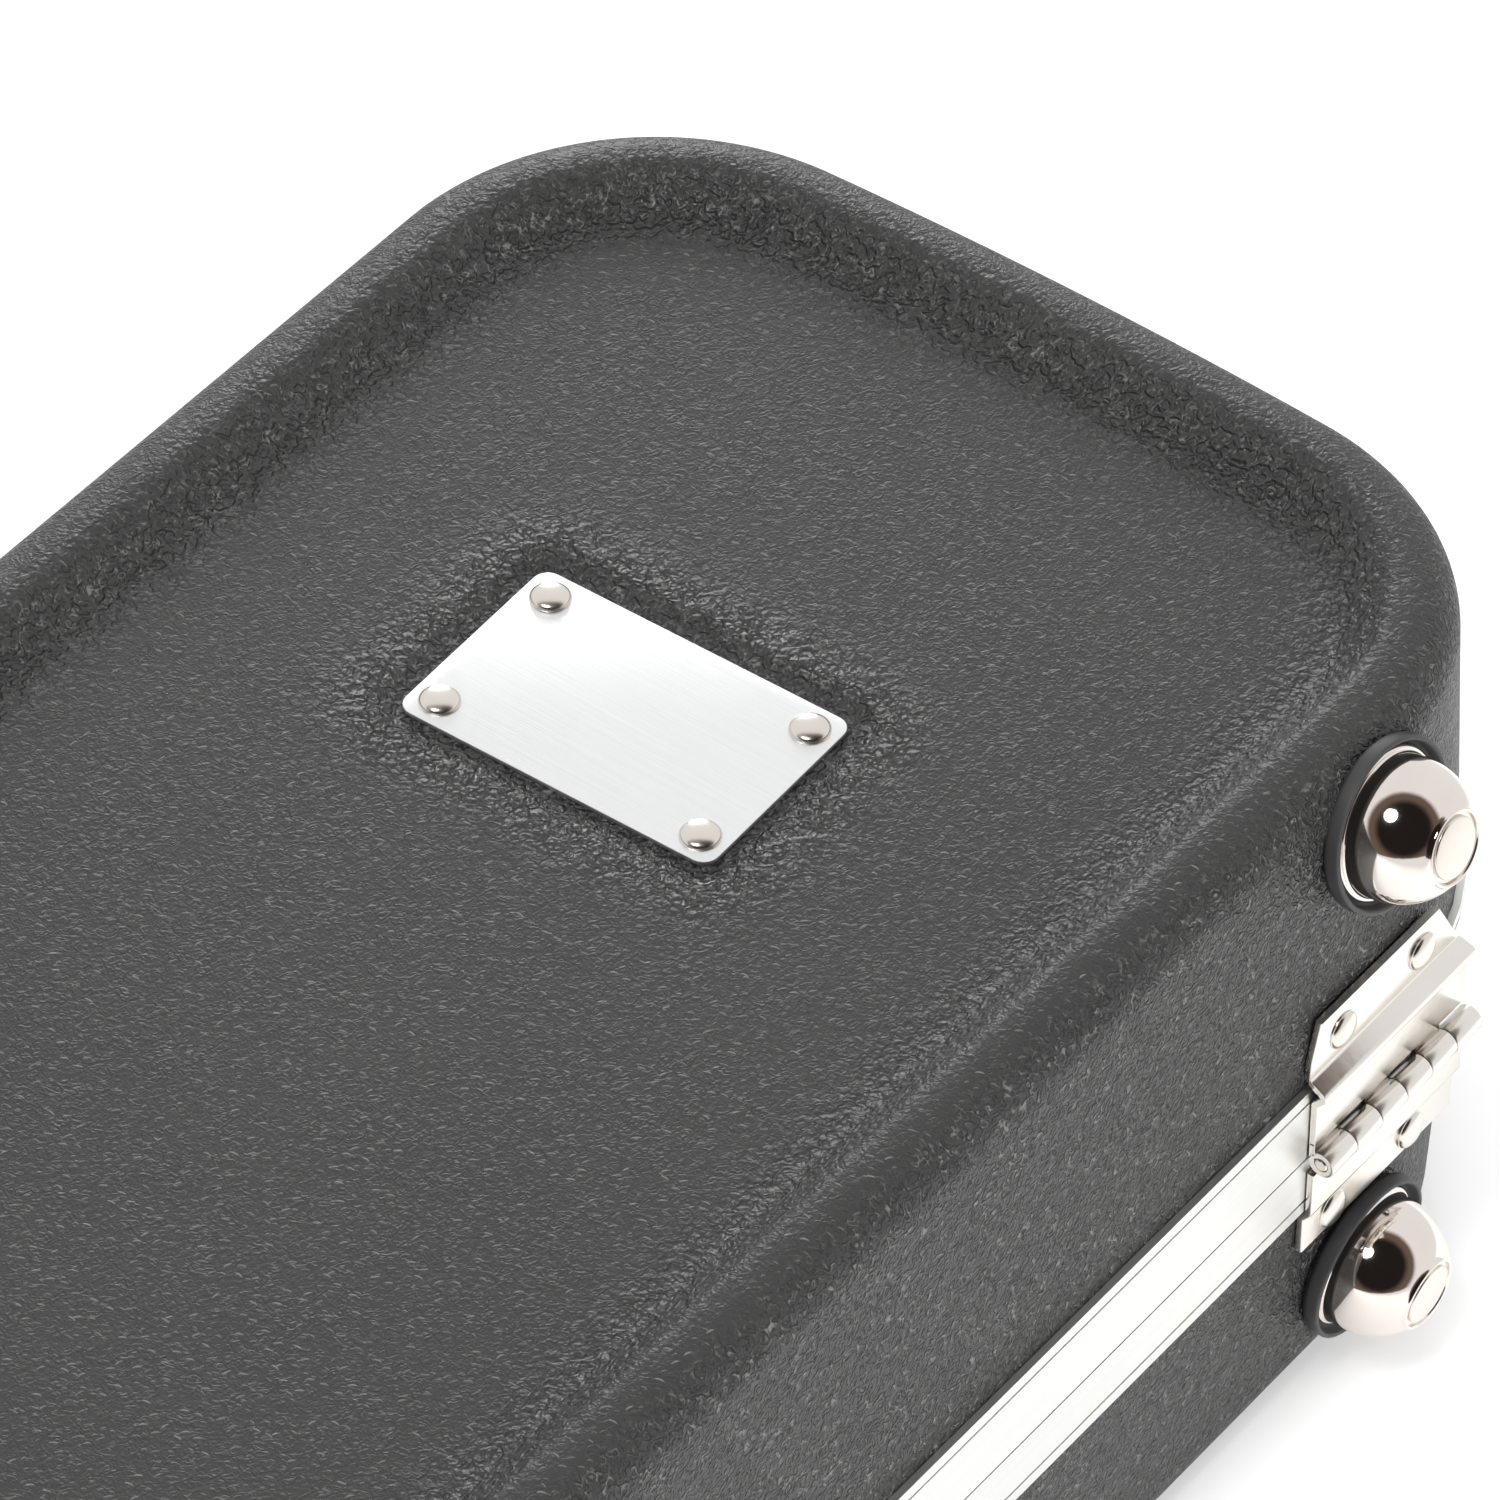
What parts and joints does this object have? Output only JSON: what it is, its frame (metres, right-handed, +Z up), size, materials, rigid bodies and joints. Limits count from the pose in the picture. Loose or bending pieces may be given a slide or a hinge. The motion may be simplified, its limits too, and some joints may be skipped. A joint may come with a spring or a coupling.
{
  "type": "bass guitar case",
  "caption": "Hard bass guitar case: moulded shells with raised rims, aluminium frames, hinges along one straight side, draw latches, drop handle and a lined inside with a covered compartment.",
  "frame": {"origin": "under the middle of the closed case, on the surface that the base lies on", "axes": "+X from the neck end to the body end, +Y to the hinge side, +Z up; the latches and the handle are on the -Y side"},
  "size_m": [1.23, 0.419, 0.126],
  "materials": {
    "shell_plastic": "black moulded plastic with a fine leather grain",
    "frame_aluminium": "satin extrusion",
    "plate_aluminium": "pale brushed sheet, left bare",
    "nickel_steel": "nickel plated steel sheet and wire",
    "chrome_plate": "bright plated steel",
    "foot_rubber": "black moulded rubber",
    "handle_steel": "nickel plated steel wire and sheet",
    "grip_plastic": "black moulded soft plastic",
    "lining_plush": "short charcoal plush over foam",
    "pull_leather": "black"
  },
  "bodies": {
    "base": {"base_shell": "shell_plastic", "base_frame": "frame_aluminium", "base_liner": "lining_plush", "neck_cradle": "lining_plush", "compartment_box": "lining_plush", "base_feet": "chrome_plate", "base_foot_cups": "foot_rubber", "base_foot_rivets": "chrome_plate", "hinge_base_rivets": "nickel_steel", "latch_pivots": "nickel_steel", "latch_plate_rivets": "nickel_steel", "handle_bracket_1": "handle_steel", "handle_bracket_2": "handle_steel", "handle_rivets": "nickel_steel", "hinge_base_leaf_1": "nickel_steel", "hinge_pin_1": "nickel_steel", "latch_plate_1": "nickel_steel", "hinge_base_leaf_2": "nickel_steel", "hinge_pin_2": "nickel_steel", "latch_plate_2": "nickel_steel", "hinge_base_leaf_3": "nickel_steel", "hinge_pin_3": "nickel_steel", "latch_plate_3": "nickel_steel", "hinge_base_leaf_4": "nickel_steel", "hinge_pin_4": "nickel_steel", "latch_plate_4": "nickel_steel"},
    "lid": {"lid_shell": "shell_plastic", "lid_frame": "frame_aluminium", "lid_liner": "lining_plush", "lid_pad": "lining_plush", "nameplate": "plate_aluminium", "nameplate_rivets": "nickel_steel", "lid_feet": "chrome_plate", "lid_foot_cups": "foot_rubber", "lid_foot_rivets": "chrome_plate", "hinge_lid_rivets": "nickel_steel", "latch_keeper_rivets": "nickel_steel", "hinge_lid_leaf_1": "nickel_steel", "latch_keeper_1": "nickel_steel", "hinge_lid_leaf_2": "nickel_steel", "latch_keeper_2": "nickel_steel", "hinge_lid_leaf_3": "nickel_steel", "latch_keeper_3": "nickel_steel", "hinge_lid_leaf_4": "nickel_steel", "latch_keeper_4": "nickel_steel"},
    "lever_1": {"latch_lever_1": "nickel_steel"},
    "bail_1": {"latch_bail_1": "nickel_steel"},
    "lever_2": {"latch_lever_2": "nickel_steel"},
    "bail_2": {"latch_bail_2": "nickel_steel"},
    "lever_3": {"latch_lever_3": "nickel_steel"},
    "bail_3": {"latch_bail_3": "nickel_steel"},
    "lever_4": {"latch_lever_4": "nickel_steel"},
    "bail_4": {"latch_bail_4": "nickel_steel"},
    "lock": {"lock_cylinder": "nickel_steel"},
    "handle": {"handle_loop": "handle_steel", "handle_grip": "grip_plastic"},
    "cover": {"compartment_cover": "lining_plush", "compartment_pull": "pull_leather"}
  },
  "joints": [
    {"name": "lid_hinge", "type": "hinge", "parent": "base", "child": "lid", "pos_m": [0, 0.19948, 0.056], "axis": [-1, 0, 0], "range_deg": [0, 130]},
    {"name": "lever_pivot_1", "type": "hinge", "parent": "base", "child": "lever_1", "pos_m": [-0.45, -0.00117, 0.04], "axis": [-1, 0, 0], "range_deg": [0, 90]},
    {"name": "bail_pivot_1", "type": "hinge", "parent": "lever_1", "child": "bail_1", "pos_m": [-0.45, 0.00043, 0.033], "axis": [-1, 0, 0], "range_deg": [-74, 0]},
    {"name": "lever_pivot_2", "type": "hinge", "parent": "base", "child": "lever_2", "pos_m": [-0.235, -0.00117, 0.04], "axis": [-1, 0, 0], "range_deg": [0, 90]},
    {"name": "bail_pivot_2", "type": "hinge", "parent": "lever_2", "child": "bail_2", "pos_m": [-0.235, 0.00043, 0.033], "axis": [-1, 0, 0], "range_deg": [-74, 0]},
    {"name": "lever_pivot_3", "type": "hinge", "parent": "base", "child": "lever_3", "pos_m": [0.205, -0.19917, 0.04], "axis": [-1, 0, 0], "range_deg": [0, 90]},
    {"name": "bail_pivot_3", "type": "hinge", "parent": "lever_3", "child": "bail_3", "pos_m": [0.205, -0.19757, 0.033], "axis": [-1, 0, 0], "range_deg": [-74, 0]},
    {"name": "lever_pivot_4", "type": "hinge", "parent": "base", "child": "lever_4", "pos_m": [0.49, -0.19917, 0.04], "axis": [-1, 0, 0], "range_deg": [0, 90]},
    {"name": "bail_pivot_4", "type": "hinge", "parent": "lever_4", "child": "bail_4", "pos_m": [0.49, -0.19757, 0.033], "axis": [-1, 0, 0], "range_deg": [-74, 0]},
    {"name": "lock_turn", "type": "hinge", "parent": "lever_3", "child": "lock", "pos_m": [0.205, -0.20217, 0.0255], "axis": [0, -1, 0], "range_deg": [0, 90]},
    {"name": "handle_pivot", "type": "hinge", "parent": "base", "child": "handle", "pos_m": [0.3475, -0.20047, 0.036], "axis": [-1, 0, 0], "range_deg": [0, 165]},
    {"name": "cover_hinge", "type": "hinge", "parent": "base", "child": "cover", "pos_m": [-0.205, 0.17703, 0.0509], "axis": [-1, 0, 0], "range_deg": [0, 88]}
  ],
  "couplings": [
    {"joint": "bail_pivot_1", "follows": "lever_pivot_1", "ratio": -0.82},
    {"joint": "bail_pivot_2", "follows": "lever_pivot_2", "ratio": -0.82},
    {"joint": "bail_pivot_3", "follows": "lever_pivot_3", "ratio": -0.82},
    {"joint": "bail_pivot_4", "follows": "lever_pivot_4", "ratio": -0.82}
  ]
}
